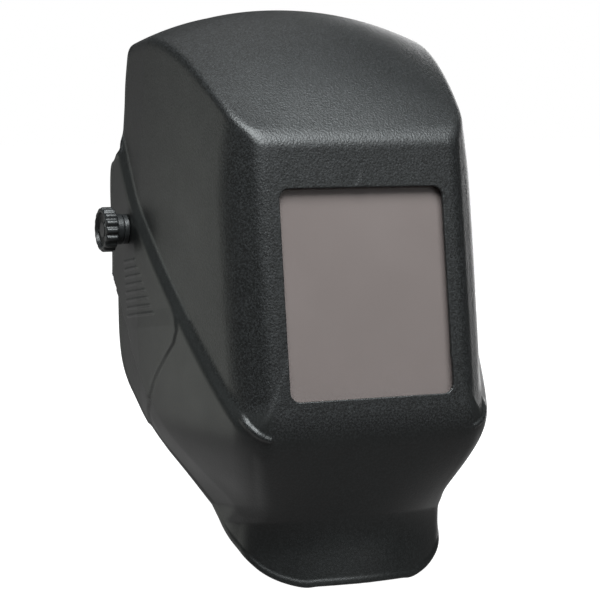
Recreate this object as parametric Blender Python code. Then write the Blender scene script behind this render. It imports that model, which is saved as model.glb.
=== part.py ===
"""Passive welding helmet: moulded shell, fixed lens bay, tilt pivots and ratchet headgear.

The part's frame: metres, +Z up, the wearer looks along -Y, +X is the wearer's left.
The origin is the middle of the tilt axis, which runs along X through both pivot bolts.
"""
import math

import bmesh
import bpy
import numpy as np
from mathutils import Matrix, Vector

MM = 0.001
GAP = 0.3 * MM                      # clearance between touching pieces

# ---- shell (drawn in its own frame, which leans back about the tilt axis) ----
SHELL_LEAN = math.radians(8.5)
WALL = 2.5 * MM
FACE_Y = -121.7 * MM                # flat front panel
WINDOW_WIDTH = 100 * MM
WINDOW_HEIGHT = 118 * MM
WINDOW_RADIUS = 6 * MM
WINDOW_Z = -48.5 * MM               # window centre
SIDE_HALF = 97.3 * MM               # half-width of the box at its widest
SKIRT_PROUD = 4.3 * MM              # how far the lower skirt stands out from the box
STEP_TOP = (10 * MM, 44.4 * MM)     # the skirt's slanting edge, in side view (y, z)
STEP_BOTTOM = (-118 * MM, -123.2 * MM)
BOX_BOTTOM_Z = -126 * MM
CHIN_Y = -92.5 * MM
CORNER_START = 65 * MM               # chamfer between the face and the side
CORNER_NORMAL = (0.79, 0.613)
RAY_CENTRE = (0.0, 75 * MM, -30 * MM)
SHELL_SIDE_STEPS = 38               # points along half of the rim
SHELL_DEPTH_STEPS = 15              # points from the window to the rim
CROWN_EDGE_Y = 22 * MM              # the rim over the crown
CROWN_EDGE_HALF = 72 * MM
CHIN_EDGE_Z = -213.3 * MM           # the rim under the chin
CHIN_EDGE_HALF = 35 * MM

# the rim down one side, in side view (y, z), millimetres
SIDE_RIM = [
    (22, 98), (22, 76), (22, 57), (19.5, 50), (24.5, 45), (33, 39), (31, 0), (33.5, -20),
    (36.5, -40), (38.5, -68), (33, -86), (13, -105), (-11, -132), (-32, -158), (-53, -183),
    (-68.5, -198), (-76.5, -207),
]

# ---- lens bay ----
PLATE_WIDTH = 114.3 * MM            # 4 1/2 x 5 1/4 inch plates
PLATE_HEIGHT = 133.4 * MM
COVER_THICK = 1.2 * MM
FILTER_THICK = 3.0 * MM
INNER_COVER_THICK = 1.0 * MM
GASKET_THICK = 2.0 * MM
HOUSING_WALL = 2.0 * MM
BAY_GAP = 0.8 * MM                  # behind the shell's front wall
HOUSING_DEPTH = 13 * MM
HOUSING_SIDE_GAP = 0.4 * MM
SPRING_RADIUS = 1.0 * MM

# ---- pivots, at the origin, along X (positions are distances from the middle) ----
BOLT_RADIUS = 3.9 * MM
BOLT_HOLE = 4.2 * MM
SHELL_HOLE = 5.2 * MM
BOLT_HEAD = (83.5 * MM, 86.7 * MM)
SIDE_PLATE_X = (87.0 * MM, 89.8 * MM)
BOSS_END = 92.8 * MM
BOSS_RADIUS = 11.5 * MM
STOP_X = (93.1 * MM, 95.7 * MM)
STOP_RADIUS = 10.5 * MM
STOP_FINGER = 23 * MM
STOP_TURN = math.radians(-78)       # the finger leans back from upright
STOP_FINGER_HALF = 2.2 * MM
STOP_PIN_RADIUS = 1.6 * MM
STOP_PIN_AT = 18.8 * MM
STOP_PIN_X = (93.5 * MM, 98.1 * MM)
INNER_WASHER_X = (96.0 * MM, 97.2 * MM)
OUTER_WASHER_X = (101.5 * MM, 104.4 * MM)
KNOB_X = (104.7 * MM, 117.4 * MM)
KNOB_RADIUS = 13.5 * MM
KNOB_LOBES = 12

# ---- headgear, drawn in the band's frame: centre of the rear arc, plane tipped back ----
BAND_TILT = math.radians(16)
BAND_CENTRE = (0.0, 28 * MM, 12 * MM)
BAND_INNER = 83.6 * MM              # half-width inside the front band
BAND_THICK = 1.8 * MM
BAND_STRAIGHT = 40 * MM             # straight side in front of the rear arc
BAND_FRONT = 76 * MM                # depth of the front ellipse
BAND_FRONT_HALF_HEIGHT = 14 * MM
BAND_SIDE_HALF_HEIGHT = 9 * MM
TAIL_FROM = math.radians(45)        # where the band's tails end, from the rear centre
STRAP_THICK = 1.4 * MM
STRAP_LEFT_R = 80.0 * MM
STRAP_RIGHT_R = 81.8 * MM
STRAP_HALF_HEIGHT = 10 * MM
STRAP_END = math.radians(24)        # past the rear centre
STRAP_START = math.radians(76)
SLOT_END = math.radians(17)
SLOT_HALF = 6.6 * MM
PINION_TEETH = 10
PINION_PITCH_R = 5 * MM
TOOTH_ADDENDUM = 0.85 * MM
TOOTH_DEDENDUM = 1.2 * MM
CROWN_HEIGHT = 82 * MM
CROWN_AT = -20 * MM
CROWN_HALF_WIDTH = 9 * MM
RIVET_RADIUS = 1.9 * MM
RIVET_HOLE = 2.2 * MM
RIVET_HEAD = 3.4 * MM
SIDE_RIVETS = (-38 * MM, -3 * MM)   # along the band, beside the pivot
PAD_THICK = 7 * MM

COLOURS = {
    "shell_black": ((0.045, 0.048, 0.047), 0.55, 0.0),
    "knob_black": ((0.03, 0.033, 0.035), 0.35, 0.0),
    "clear_plate": ((0.75, 0.78, 0.78), 0.08, 0.0),
    "filter_glass": ((0.20, 0.17, 0.165), 0.12, 0.0),
    "gasket_rubber": ((0.02, 0.02, 0.02), 0.8, 0.0),
    "spring_steel": ((0.55, 0.55, 0.56), 0.3, 1.0),
    "bolt_steel": ((0.5, 0.5, 0.5), 0.35, 1.0),
    "fibre_washer": ((0.16, 0.10, 0.07), 0.85, 0.0),
    "headgear_plastic": ((0.06, 0.062, 0.065), 0.5, 0.0),
    "pad_fabric": ((0.07, 0.07, 0.075), 0.95, 0.0),
    "pad_foam": ((0.10, 0.10, 0.11), 0.95, 0.0),
    "rivet_plastic": ((0.05, 0.05, 0.05), 0.45, 0.0),
}


# ------------------------------------------------------------------ basics

def clear_scene():
    for obj in list(bpy.data.objects):
        bpy.data.objects.remove(obj, do_unlink=True)


def material(piece, finish):
    colour, roughness, metallic = COLOURS[finish]
    mat = bpy.data.materials.new(piece)
    mat.use_nodes = True
    shader = mat.node_tree.nodes["Principled BSDF"]
    shader.inputs["Base Color"].default_value = (*colour, 1.0)
    shader.inputs["Roughness"].default_value = roughness
    shader.inputs["Metallic"].default_value = metallic
    return mat


def empty(name, location, tilt):
    obj = bpy.data.objects.new(name, None)
    bpy.context.scene.collection.objects.link(obj)
    obj.location = location
    obj.rotation_euler = (tilt, 0.0, 0.0)
    return obj


def add_piece(name, bm, finish, parent=None, origin=(0.0, 0.0, 0.0), sharp=35.0):
    """Make an object from a bmesh drawn in its parent's frame; origin is its pivot there."""
    bmesh.ops.recalc_face_normals(bm, faces=bm.faces)
    bmesh.ops.translate(bm, verts=bm.verts, vec=-Vector(origin))
    mesh = bpy.data.meshes.new(name)
    bm.to_mesh(mesh)
    bm.free()
    mesh.shade_smooth()
    mesh.set_sharp_from_angle(angle=math.radians(sharp))
    obj = bpy.data.objects.new(name, mesh)
    bpy.context.scene.collection.objects.link(obj)
    obj.location = origin
    obj.parent = parent
    mesh.materials.append(material(name, finish))
    return obj


def cutter(name, bm, parent):
    bmesh.ops.recalc_face_normals(bm, faces=bm.faces)
    mesh = bpy.data.meshes.new(name)
    bm.to_mesh(mesh)
    bm.free()
    obj = bpy.data.objects.new(name, mesh)
    bpy.context.scene.collection.objects.link(obj)
    obj.parent = parent
    obj.hide_render = True
    obj.display_type = "WIRE"
    return obj


def cut(obj, tool):
    mod = obj.modifiers.new("cut_" + tool.name, "BOOLEAN")
    mod.operation = "DIFFERENCE"
    mod.solver = "EXACT"
    mod.object = tool


def loft(rings, closed=False):
    """Skin a list of rings of equal length; capped at both ends, or closed into a loop."""
    bm = bmesh.new()
    rows = [[bm.verts.new(p) for p in ring] for ring in rings]
    count = len(rows[0])
    pairs = list(zip(rows, rows[1:]))
    if closed:
        pairs.append((rows[-1], rows[0]))
    for low, high in pairs:
        for i in range(count):
            j = (i + 1) % count
            bm.faces.new((low[i], low[j], high[j], high[i]))
    if not closed:
        bm.faces.new(rows[0])
        bm.faces.new(reversed(rows[-1]))
    return bm


def circle_x(x, radius, count=32, centre=(0.0, 0.0)):
    step = 2 * math.pi / count
    turns = [(i + 0.25) * step for i in range(count)]
    return [(x, centre[0] + radius * math.cos(a), centre[1] + radius * math.sin(a)) for a in turns]


def thick_sheet(points, faces, inner, outer):
    """Give a flat pattern two skins, inner(u, v) and outer(u, v), and walls at its edges."""
    bm = bmesh.new()
    low = [bm.verts.new(inner(u, v)) for u, v in points]
    high = [bm.verts.new(outer(u, v)) for u, v in points]
    seen = {}
    for face in faces:
        bm.faces.new([low[i] for i in reversed(face)])
        bm.faces.new([high[i] for i in face])
        for a, b in zip(face, face[1:] + face[:1]):
            seen[(a, b)] = True
    for a, b in seen:
        if (b, a) not in seen:
            bm.faces.new((low[a], low[b], high[b], high[a]))
    return bm


# ------------------------------------------------------------------ the shell's surface

def smooth_max(a, b, blend):
    h = np.maximum(blend - np.abs(a - b), 0) / blend
    return np.maximum(a, b) + h * h * blend / 4


def smooth_min(a, b, blend):
    return -smooth_max(-a, -b, blend)


def soft_ramp(t, blend):
    return 0.5 * (t + np.sqrt(t * t + blend * blend))


def box_half_width(y, z):
    """The side wall: nearly straight at the pivots, curving in to the face and the crown."""
    ahead = np.maximum(-13 * MM - y, 0)
    return SIDE_HALF - 0.098 * ahead - 1.27 * ahead**2 - 0.105 * soft_ramp(z - 20 * MM, 15 * MM)


def jaw_taper(y, z):
    """How much the side draws in below the box, down to the chin."""
    steep = 0.645 * soft_ramp(-131.6 * MM + 0.15 * (y + 120 * MM) - z, 16 * MM)
    gentle = 18.4 * MM + 0.318 * np.clip(-136 * MM - z, -12 * MM, 29 * MM)
    gentle = gentle - 0.04 * np.clip(y + 95 * MM, 0, 90 * MM)
    return smooth_min(steep, gentle, 3.5 * MM)


def crown_height(x, y):
    ahead = -15 * MM - y
    centre = 130.4 * MM - 0.1336 * ahead - 7.48 * ahead * np.maximum(ahead, 0)
    centre = centre - 0.6 * np.minimum(ahead, 0) ** 2
    along = np.clip((y + 117 * MM) / (100 * MM), 0, 1.5)
    drop = 23 * MM * along * (1 - 0.3 * along)
    reach = 48 * MM + 33 * MM * np.minimum(along, 1)
    return centre - drop * (np.abs(x) / reach) ** 2.08


def jaw_panel_y(x, z):
    below = BOX_BOTTOM_Z - z
    curl = np.minimum(7.8 * np.maximum(below, 0) ** 2, 19 * MM)
    return FACE_Y + 0.512 * below + (x / (55 * MM)) ** 2 * curl


def chin_y(x):
    return CHIN_Y + 19 * MM * (x / (55 * MM)) ** 2


def shell_field(p):
    """Signed distance, near enough, to the shell's outer surface: negative inside."""
    x, y, z = p[..., 0], p[..., 1], p[..., 2]
    across = np.abs(x)
    half = box_half_width(y, z) - jaw_taper(y, z)
    face = FACE_Y - y
    jaw = smooth_min((jaw_panel_y(x, z) - y) * 0.8, chin_y(x) - y, 5 * MM)
    top = (z - crown_height(x, y)) * 0.72
    corner = CORNER_NORMAL[0] * (across - CORNER_START) - CORNER_NORMAL[1] * (y - FACE_Y)
    box = smooth_max(face, (across - half) * 0.95, 4 * MM)
    box = smooth_max(box, corner, 7 * MM)
    box = smooth_max(box, top, 7 * MM)
    box = smooth_max(box, jaw, 5 * MM)
    run = np.array(STEP_BOTTOM) - np.array(STEP_TOP)
    run = run / np.linalg.norm(run)
    above = (y - STEP_TOP[0]) * run[1] - (z - STEP_TOP[1]) * run[0]
    ramp = np.where(run[0] < 0, 1, -1) * above * 0.62 + (across - half) * 0.78
    skirt = smooth_max(face, jaw, 5 * MM)
    skirt = smooth_max((across - half - SKIRT_PROUD) * 0.95, skirt, 16 * MM)
    skirt = smooth_max(skirt, ramp, 2 * MM)
    skirt = smooth_max(skirt, top + 2 * MM, 8 * MM)
    return smooth_min(box, skirt, 2 * MM)


def cast_to_shell(start, directions):
    """Follow rays from inside the shell to its outer surface."""
    near = np.zeros(directions.shape[:-1])
    far = np.full(directions.shape[:-1], 420 * MM)
    for _ in range(34):
        middle = (near + far) / 2
        inside = shell_field(start + directions * middle[..., None]) < 0
        near = np.where(inside, middle, near)
        far = np.where(inside, far, middle)
    return start + directions * ((near + far) / 2)[..., None]


def outward(points):
    """Unit normals of the outer surface."""
    step = 0.4 * MM * np.eye(3)
    slope = [shell_field(points + step[k]) - shell_field(points - step[k]) for k in range(3)]
    normal = np.stack(slope, -1)
    return normal / np.linalg.norm(normal, axis=-1, keepdims=True)


def resample(points, count):
    """Points at equal steps along a smooth curve through the given ones."""
    points = np.array(points, float)
    padded = np.vstack([2 * points[0] - points[1], points, 2 * points[-1] - points[-2]])
    t = np.linspace(0, 1, 8, endpoint=False)[:, None]
    fine = []
    for p0, p1, p2, p3 in zip(padded, padded[1:], padded[2:], padded[3:]):
        fine.append(p1 + 0.5 * t * (p2 - p0 + t * (2 * p0 - 5 * p1 + 4 * p2 - p3 + t * (3 * (p1 - p2) + p3 - p0))))
    fine = np.vstack(fine + [points[-1:]])
    length = np.r_[0, np.cumsum(np.linalg.norm(np.diff(fine, axis=0), axis=1))]
    at = np.linspace(0, length[-1], count)
    return np.stack([np.interp(at, length, fine[:, k]) for k in range(3)], -1)


def half_rim(count):
    """The rim from the crown's middle, down one side, to the chin's middle."""
    across = np.linspace(0, CROWN_EDGE_HALF, 7)
    crown = np.stack([across, np.full(7, CROWN_EDGE_Y), np.full(7, 40 * MM)], -1)
    crown = cast_to_shell(crown, np.tile([0.0, 0.0, 1.0], (7, 1)))
    side = np.array([(0, y, z) for y, z in SIDE_RIM]) * MM
    side = cast_to_shell(side, np.tile([1.0, 0.0, 0.0], (len(side), 1)))
    across = np.linspace(CHIN_EDGE_HALF, 0, 5)
    chin = np.stack([across, np.full(5, -60 * MM), np.full(5, CHIN_EDGE_Z)], -1)
    chin = cast_to_shell(chin, np.tile([0.0, -1.0, 0.0], (5, 1)))
    return resample(np.vstack([crown, side, chin]), count)


def half_window(count):
    """The window's edge from its top middle, round one side, to its bottom middle."""
    r = WINDOW_RADIUS
    flat_w, flat_h = WINDOW_WIDTH / 2 - r, WINDOW_HEIGHT / 2 - r
    across = [(x, flat_h + r) for x in np.linspace(0, flat_w, 7)]
    corner = [(flat_w + r * math.sin(a), flat_h + r * math.cos(a)) for a in np.radians([30, 60])]
    quarter = across + corner
    down = [(flat_w + r, z) for z in np.linspace(flat_h, -flat_h, count - 2 * len(quarter))]
    outline = quarter + down + [(x, -z) for x, z in quarter[::-1]]
    return np.array([(x, FACE_Y, z + WINDOW_Z) for x, z in outline])


def ray_angles(points):
    d = points - np.array(RAY_CENTRE)
    side = np.arctan2(d[:, 0], -d[:, 1])
    rise = np.arctan2(d[:, 2], np.hypot(d[:, 0], d[:, 1]))
    return np.stack([side, rise], -1)


def shell_skin(along, inward):
    """A grid of points from the window's edge (first row) to the rim (last row)."""
    rim = ray_angles(half_rim(along))
    window = ray_angles(half_window(along))
    share = np.r_[0, 0.055, 0.105, np.linspace(0.17, 1, inward - 3)][:, None, None]
    angles = window * (1 - share) + rim * share
    side, rise = angles[..., 0], angles[..., 1]
    rays = np.stack([np.sin(side) * np.cos(rise), -np.cos(side) * np.cos(rise), np.sin(rise)], -1)
    half = cast_to_shell(np.array(RAY_CENTRE), rays)
    half[:, 0, 0] = 0.0
    half[:, -1, 0] = 0.0
    other = half[:, -2:0:-1] * np.array([-1.0, 1.0, 1.0])
    return np.concatenate([half, other], axis=1)


def shell_mesh():
    outside = shell_skin(SHELL_SIDE_STEPS, SHELL_DEPTH_STEPS)
    inside = outside - WALL * outward(outside)
    rings = [list(map(tuple, row)) for row in outside]
    rings += [list(map(tuple, row)) for row in inside[::-1]]
    bm = loft(rings, closed=True)
    for face in list(bm.faces):
        split_quad(face)
    return bm


def split_quad(face):
    """Cut along the diagonal that lies closer to the real surface, outer or inner."""
    a, b, c, d = face.verts
    miss = shell_field(np.array([(a.co + c.co) / 2, (b.co + d.co) / 2]))
    miss = np.minimum(np.abs(miss), np.abs(miss + WALL))
    ends = (a, c) if miss[0] <= miss[1] else (b, d)
    bmesh.utils.face_split(face, *ends)


def build_shell(frame):
    shell = add_piece("helmet_shell", shell_mesh(), "shell_black", frame)
    reach = 130 * MM
    hole = cutter("pivot_hole_cutter", loft([circle_x(-reach, SHELL_HOLE), circle_x(reach, SHELL_HOLE)]), None)
    cut(shell, hole)
    for side, sign in (("left", 1), ("right", -1)):
        build_stop_pin(side, sign, frame)
    return shell


def build_stop_pin(side, sign, frame):
    """The pin on the shell that meets the headgear's stop when the helmet is down."""
    clear = STOP_FINGER_HALF + STOP_PIN_RADIUS + GAP
    tip = Vector((0.0, clear, STOP_PIN_AT))
    tip.rotate(Matrix.Rotation(SHELL_LEAN + STOP_TURN, 3, "X"))
    rings = [circle_x(sign * x, STOP_PIN_RADIUS, 16, (tip.y, tip.z)) for x in STOP_PIN_X]
    add_piece("tilt_stop_pin_" + side, loft(rings), "knob_black", frame)


# ------------------------------------------------------------------ lens bay

def rounded_rectangle(width, height, radius, y, arc=4):
    points = []
    for cx, cz, start in ((1, 1, 0), (-1, 1, 90), (-1, -1, 180), (1, -1, 270)):
        for i in range(arc + 1):
            a = math.radians(start + 90 * i / arc)
            x = cx * (width / 2 - radius) + radius * math.cos(a)
            z = cz * (height / 2 - radius) + radius * math.sin(a)
            points.append((x, y, z + WINDOW_Z))
    return points


def lens_plate(name, front_y, thick, finish, frame):
    corner = 1.5 * MM
    rings = [rounded_rectangle(PLATE_WIDTH, PLATE_HEIGHT, corner, y) for y in (front_y, front_y + thick)]
    add_piece(name, loft(rings), finish, frame)
    return front_y + thick + GAP


def rectangular_ring(outer, inner, y0, y1, radii):
    """A flat frame: outer and inner are (width, height), radii their corner radii."""
    rings = [
        rounded_rectangle(*inner, radii[1], y0),
        rounded_rectangle(*outer, radii[0], y0),
        rounded_rectangle(*outer, radii[0], y1),
        rounded_rectangle(*inner, radii[1], y1),
    ]
    return loft(rings, closed=True)


def build_lens_bay(frame):
    y = FACE_Y + WALL + BAY_GAP
    housing_front = y
    y = lens_plate("front_cover_plate", y, COVER_THICK, "clear_plate", frame)
    y = lens_plate("filter_plate", y, FILTER_THICK, "filter_glass", frame)
    y = lens_plate("inner_cover_plate", y, INNER_COVER_THICK, "clear_plate", frame)
    gasket_size = (PLATE_WIDTH, PLATE_HEIGHT)
    gasket_hole = (WINDOW_WIDTH + 2 * MM, WINDOW_HEIGHT + 2 * MM)
    gasket = rectangular_ring(gasket_size, gasket_hole, y, y + GASKET_THICK, (1.5 * MM, 4 * MM))
    add_piece("lens_gasket", gasket, "gasket_rubber", frame)
    y = y + GASKET_THICK + GAP
    room = HOUSING_SIDE_GAP + HOUSING_WALL
    inner = (PLATE_WIDTH + 2 * HOUSING_SIDE_GAP, PLATE_HEIGHT + 2 * HOUSING_SIDE_GAP)
    outer = (PLATE_WIDTH + 2 * room, PLATE_HEIGHT + 2 * room)
    housing = rectangular_ring(outer, inner, housing_front, housing_front + HOUSING_DEPTH, (3 * MM, 1.9 * MM))
    add_piece("lens_housing", housing, "headgear_plastic", frame)
    build_lens_spring(y, frame)


def build_lens_spring(y, frame):
    """A bent wire frame that presses the stack forward against the shell."""
    path = rounded_rectangle(PLATE_WIDTH - 5 * MM, PLATE_HEIGHT - 5 * MM, 8 * MM, y + SPRING_RADIUS, 5)
    centre = Vector((0.0, y + SPRING_RADIUS, WINDOW_Z))
    rings = []
    for i, point in enumerate(path):
        ahead = Vector(path[(i + 1) % len(path)]) - Vector(path[i - 1])
        out = ahead.cross(Vector((0.0, 1.0, 0.0))).normalized()
        if out.dot(Vector(point) - centre) < 0:
            out = -out
        ring = []
        for k in range(8):
            a = k * math.pi / 4
            ring.append(Vector(point) + SPRING_RADIUS * (math.cos(a) * out + Vector((0.0, math.sin(a), 0.0))))
        rings.append(ring)
    add_piece("lens_retaining_spring", loft(rings, closed=True), "spring_steel", frame)


# ------------------------------------------------------------------ pivots

def turned_ring(x0, x1, hole, radius, count=24):
    rings = [circle_x(x0, hole, count), circle_x(x0, radius, count), circle_x(x1, radius, count), circle_x(x1, hole, count)]
    return loft(rings, closed=True)


def lobed_circle(x, radius, depth, lobes, per_lobe=4):
    """A round outline with scallops: depth is how far each valley cuts in."""
    ring = []
    count = lobes * per_lobe
    for i in range(count):
        a = 2 * math.pi * i / count
        r = radius - depth * (0.5 - 0.5 * math.cos(lobes * a)) ** 1.5
        ring.append((x, r * math.cos(a), r * math.sin(a)))
    return ring


def knob_mesh(x0, x1, radius, lobes, bore, bore_depth, sign=1):
    """A fluted knob along X with a blind bore in its back and a dished face."""
    length = x1 - x0
    flute = 0.11 * radius
    profile = [
        (x0 + bore_depth, bore, 0.0),
        (x0, bore, 0.0),
        (x0, 0.62 * radius, 0.0),
        (x0 + 0.18 * length, 0.66 * radius, 0.0),
        (x0 + 0.26 * length, radius, flute),
        (x0 + 0.90 * length, radius, flute),
        (x1, 0.92 * radius, 0.6 * flute),
        (x1, 0.72 * radius, 0.0),
        (x1 - 0.14 * length, 0.64 * radius, 0.0),
        (x1 - 0.14 * length, 0.30 * radius, 0.0),
        (x1 - 0.04 * length, 0.25 * radius, 0.0),
    ]
    return loft([lobed_circle(sign * x, r, depth, lobes) for x, r, depth in profile])


def stop_outline(x):
    """A disc with one upright finger, as a ring that starts at the finger's root."""
    points = []
    count = 32
    root = math.asin(STOP_FINGER_HALF / STOP_RADIUS)
    start = math.pi / 2 + root
    span = 2 * math.pi - 2 * root
    for i in range(count - 3):
        a = start + span * i / (count - 4)
        points.append((x, STOP_RADIUS * math.cos(a), STOP_RADIUS * math.sin(a)))
    points.append((x, STOP_FINGER_HALF, STOP_FINGER))
    points.append((x, 0.0, STOP_FINGER + 1.2 * MM))
    points.append((x, -STOP_FINGER_HALF, STOP_FINGER))
    c, s = math.cos(STOP_TURN), math.sin(STOP_TURN)
    return [(x, c * y - s * z, s * y + c * z) for _, y, z in points]


def stop_hole(x):
    """The bolt hole, with its points turned to match the outline's."""
    points = []
    for _, y, z in stop_outline(x):
        a = math.atan2(z, y)
        points.append((x, BOLT_HOLE * math.cos(a), BOLT_HOLE * math.sin(a)))
    return points


def convex_outline(x, circles, count=28):
    """The outline round several circles (y, z, radius), as a belt would lie."""
    points = []
    for i in range(count):
        a = 2 * math.pi * i / count
        c, s = math.cos(a), math.sin(a)
        y, z, r = max(circles, key=lambda k: k[0] * c + k[1] * s + k[2])
        points.append((x, y + r * c, z + r * s))
    return points


def band_point(local):
    """A point of the band's frame, in the part's frame."""
    return Matrix.Rotation(-BAND_TILT, 3, "X") @ Vector(local) + Vector(BAND_CENTRE)


def build_pivot(side, sign, rivet_cutters):
    rivets = []
    for along in SIDE_RIVETS:
        rivets.append(band_point((0.0, along, 0.0)))
    circles = [(p.y, p.z, 7 * MM) for p in rivets] + [(0.0, 0.0, 12.5 * MM)]
    x0, x1 = (sign * x for x in SIDE_PLATE_X)
    boss = sign * BOSS_END
    plate = loft([
        circle_x(x0, BOLT_HOLE, 28), convex_outline(x0, circles), convex_outline(x1, circles),
        circle_x(x1, BOSS_RADIUS, 28), circle_x(boss, BOSS_RADIUS, 28), circle_x(boss, BOLT_HOLE, 28),
    ], closed=True)
    plate_piece = add_piece("side_plate_" + side, plate, "headgear_plastic")
    for tool in rivet_cutters:
        cut(plate_piece, tool)

    head0, head1 = BOLT_HEAD
    end = KNOB_X[0] + 7.5 * MM
    bolt = [
        (head0, 5.2 * MM), (head0 + 1 * MM, 7 * MM), (head1, 7 * MM),
        (head1, BOLT_RADIUS), (end - 0.6 * MM, BOLT_RADIUS), (end, BOLT_RADIUS - 0.6 * MM),
    ]
    add_piece("pivot_bolt_" + side, loft([circle_x(sign * x, r, 20) for x, r in bolt]), "bolt_steel")

    s0, s1 = (sign * x for x in STOP_X)
    stop = loft([stop_hole(s0), stop_outline(s0), stop_outline(s1), stop_hole(s1)], closed=True)
    add_piece("tilt_stop_" + side, stop, "headgear_plastic")

    w0, w1 = (sign * x for x in INNER_WASHER_X)
    add_piece("friction_washer_" + side, turned_ring(w0, w1, BOLT_HOLE, 10 * MM), "fibre_washer")
    w0, w1 = (sign * x for x in OUTER_WASHER_X)
    add_piece("knob_spacer_" + side, turned_ring(w0, w1, BOLT_HOLE, 9 * MM), "knob_black")

    knob = knob_mesh(*KNOB_X, KNOB_RADIUS, KNOB_LOBES, BOLT_HOLE, 8.2 * MM, sign)
    centre = (sign * (KNOB_X[0] + KNOB_X[1]) / 2, 0.0, 0.0)
    add_piece("tension_knob_" + side, knob, "knob_black", None, centre)


# ------------------------------------------------------------------ headgear

def arc_point(radius, angle, z):
    """On the rear arc; the angle is measured from the rear centre towards +X."""
    return (radius * math.sin(angle), radius * math.cos(angle), z)


def band_outline(offset, steps_tail=6, steps_side=3, steps_front=28):
    """The band's line from its left tail round the front to its right tail, with half-heights."""
    half_pi = math.pi / 2
    radius = BAND_INNER + offset
    line = []
    for i in range(steps_tail):
        a = TAIL_FROM + (half_pi - TAIL_FROM) * i / steps_tail
        line.append((radius * math.sin(a), radius * math.cos(a), BAND_SIDE_HALF_HEIGHT))
    for i in range(steps_side):
        line.append((radius, -BAND_STRAIGHT * i / steps_side, BAND_SIDE_HALF_HEIGHT))
    for i in range(steps_front + 1):
        a = math.pi * i / steps_front
        widen = math.sin(a) ** 2
        half = BAND_SIDE_HALF_HEIGHT + (BAND_FRONT_HALF_HEIGHT - BAND_SIDE_HALF_HEIGHT) * widen
        line.append((radius * math.cos(a), -BAND_STRAIGHT - (BAND_FRONT + offset) * math.sin(a), half))
    mirrored = [(-x, y, half) for x, y, half in line[:steps_tail + steps_side]]
    return line + mirrored[::-1]


def band_loft(inner_line, outer_line, trim=0.0):
    rings = []
    for (xi, yi, half), (xo, yo, _) in zip(inner_line, outer_line):
        h = half - trim
        rings.append([(xi, yi, -h), (xo, yo, -h), (xo, yo, h), (xi, yi, h)])
    return loft(rings)


def build_front_band(frame, rivet_cutters):
    band = add_piece("front_headband", band_loft(band_outline(0), band_outline(BAND_THICK)), "headgear_plastic", frame)
    for tool in rivet_cutters:
        cut(band, tool)
    inner = band_outline(-GAP - PAD_THICK)
    outer = band_outline(-GAP)
    first = 9 + 4
    last = len(inner) - first
    pad = []
    for i in range(first, last):
        (xi, yi, half), (xo, yo, _) = inner[i], outer[i]
        edge = (i - first) / (last - first - 1)
        slim = 0.35 + 0.65 * min(1.0, 6 * min(edge, 1 - edge))
        xi, yi = xo + (xi - xo) * slim, yo + (yi - yo) * slim
        full, waist = half + 1.5 * MM, half - 2.0 * MM
        pad.append([(xi, yi, -waist), (xo, yo, -full), (xo, yo, full), (xi, yi, waist)])
    add_piece("brow_pad", loft(pad), "pad_fabric", frame)


def rivet_mesh(x0, x1, y, z, sign=1, hole_only=False):
    """A rivet along X between two outer faces, or the cutter for its hole."""
    if hole_only:
        return loft([circle_x(sign * x, RIVET_HOLE, 12, (y, z)) for x in (x0, x1)])
    head = 1.0 * MM
    stations = [
        (x0 - head, 0.7 * RIVET_HEAD), (x0, RIVET_HEAD), (x0, RIVET_RADIUS),
        (x1, RIVET_RADIUS), (x1, RIVET_HEAD), (x1 + head, 0.7 * RIVET_HEAD),
    ]
    return loft([circle_x(sign * x, r, 12, (y, z)) for x, r in stations])


def rack_profile(pitch_angle, root, tip, reach):
    """The toothed edge of a strap's slot: (angle, height) points, with a gap at angle 0."""
    teeth = int(reach / pitch_angle)
    points = []
    for n in range(-teeth, teeth):
        middle = (n + 0.5) * pitch_angle
        for part, height in ((-0.34, root), (-0.15, tip), (0.15, tip), (0.34, root)):
            points.append((middle + part * pitch_angle, height))
    return points


def strap_mesh(radius, side, toothed):
    """A rear strap: an arc with a racked slot. side is where its long end lies,
    toothed is +1 for teeth on the slot's upper edge and -1 for its lower edge."""
    middle = radius + STRAP_THICK / 2
    root = PINION_PITCH_R + TOOTH_DEDENDUM
    tip = PINION_PITCH_R - TOOTH_ADDENDUM
    rack = rack_profile(math.pi * 2 * PINION_PITCH_R / PINION_TEETH / middle, root, tip, math.radians(11))
    columns = [(-STRAP_END, None), (-SLOT_END, SLOT_HALF)]
    columns += rack
    columns += [(SLOT_END, SLOT_HALF)]
    steps = 12
    for i in range(1, steps + 1):
        columns.append((SLOT_END + (STRAP_START - SLOT_END) * i / steps, None))
    points, faces = [], []
    previous = None
    h = STRAP_HALF_HEIGHT
    for angle, edge in columns:
        low, high = (-SLOT_HALF, edge) if toothed > 0 else (-(edge or 0), SLOT_HALF)
        if edge is None:
            low, high = -SLOT_HALF, SLOT_HALF
        base = len(points)
        points += [(side * angle, v) for v in (-h, low, high, h)]
        if previous is not None:
            slotted = previous[1] is not None and edge is not None
            for k in (0, 2) if slotted else (0, 1, 2):
                a, b = previous[0] + k, base + k
                faces.append([a, b, b + 1, a + 1])
        previous = (base, edge)
    return thick_sheet(
        points, faces,
        lambda u, v: arc_point(radius, u, v),
        lambda u, v: arc_point(radius + STRAP_THICK, u, v),
    )


def arc_loft(section, half_angle, steps=6):
    """Sweep a (radius, z) section along the rear arc."""
    rings = []
    for i in range(steps + 1):
        a = -half_angle + 2 * half_angle * i / steps
        rings.append([arc_point(r, a, z) for r, z in section])
    return loft(rings)


def turn_to_y(bm):
    """Turn a mesh drawn along X so that it lies along Y."""
    bmesh.ops.rotate(bm, verts=bm.verts, matrix=Matrix.Rotation(math.pi / 2, 3, "Z"))
    return bm


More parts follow.
